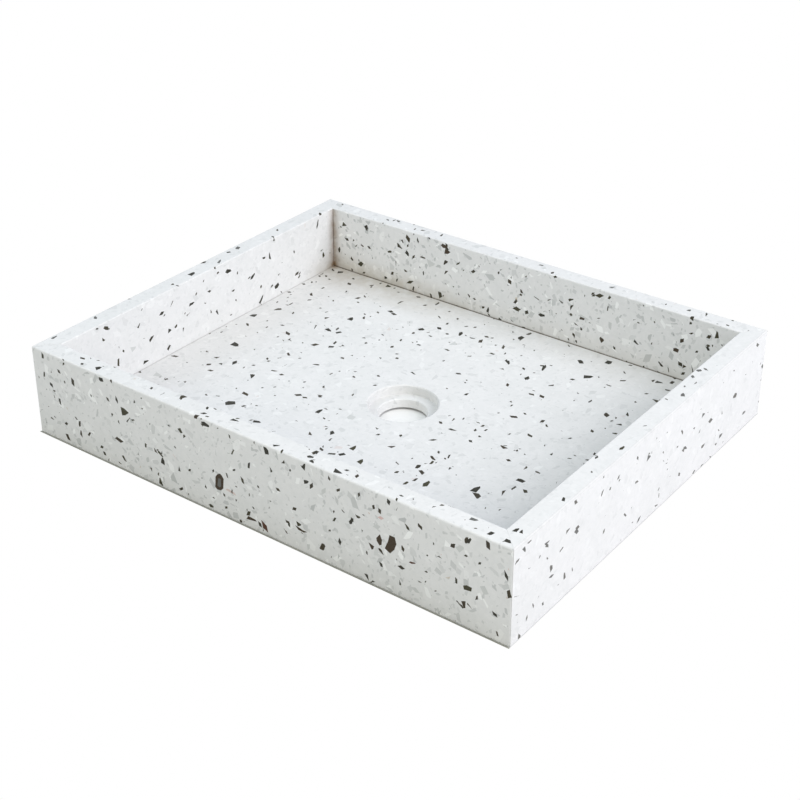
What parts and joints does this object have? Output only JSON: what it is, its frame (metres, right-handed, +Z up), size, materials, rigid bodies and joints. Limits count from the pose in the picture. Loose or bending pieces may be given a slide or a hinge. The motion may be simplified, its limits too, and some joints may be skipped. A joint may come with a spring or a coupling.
{
  "type": "washbasin",
  "caption": "Rectangular countertop washbasin of mitred terrazzo slabs with a flat floor and a stepped central waste outlet.",
  "frame": {"origin": "middle of the resting plane, below the centre of the basin", "axes": "+X to the basin's right along its long side, +Y to the rear, +Z up"},
  "size_m": [0.5, 0.412, 0.086],
  "materials": {
    "front_wall_terrazzo": "polished terrazzo, pale matrix with charcoal, brown, grey and white chips",
    "rear_wall_terrazzo": "polished terrazzo, pale matrix with charcoal, brown, grey and white chips",
    "left_wall_terrazzo": "polished terrazzo, pale matrix with charcoal, brown, grey and white chips",
    "right_wall_terrazzo": "polished terrazzo, pale matrix with charcoal, brown, grey and white chips",
    "floor_terrazzo": "polished terrazzo, pale matrix with charcoal, brown, grey and white chips",
    "resin_bond": "cured resin, matt, slightly below the polished faces"
  },
  "bodies": {
    "root": {"front_wall": "front_wall_terrazzo", "rear_wall": "rear_wall_terrazzo", "left_wall": "left_wall_terrazzo", "right_wall": "right_wall_terrazzo", "floor_slab": "floor_terrazzo", "mitre_bond_front_left": "resin_bond", "mitre_bond_front_right": "resin_bond", "mitre_bond_rear_left": "resin_bond", "mitre_bond_rear_right": "resin_bond", "floor_bond_front": "resin_bond", "floor_bond_rear": "resin_bond", "floor_bond_left": "resin_bond", "floor_bond_right": "resin_bond"}
  },
  "joints": []
}
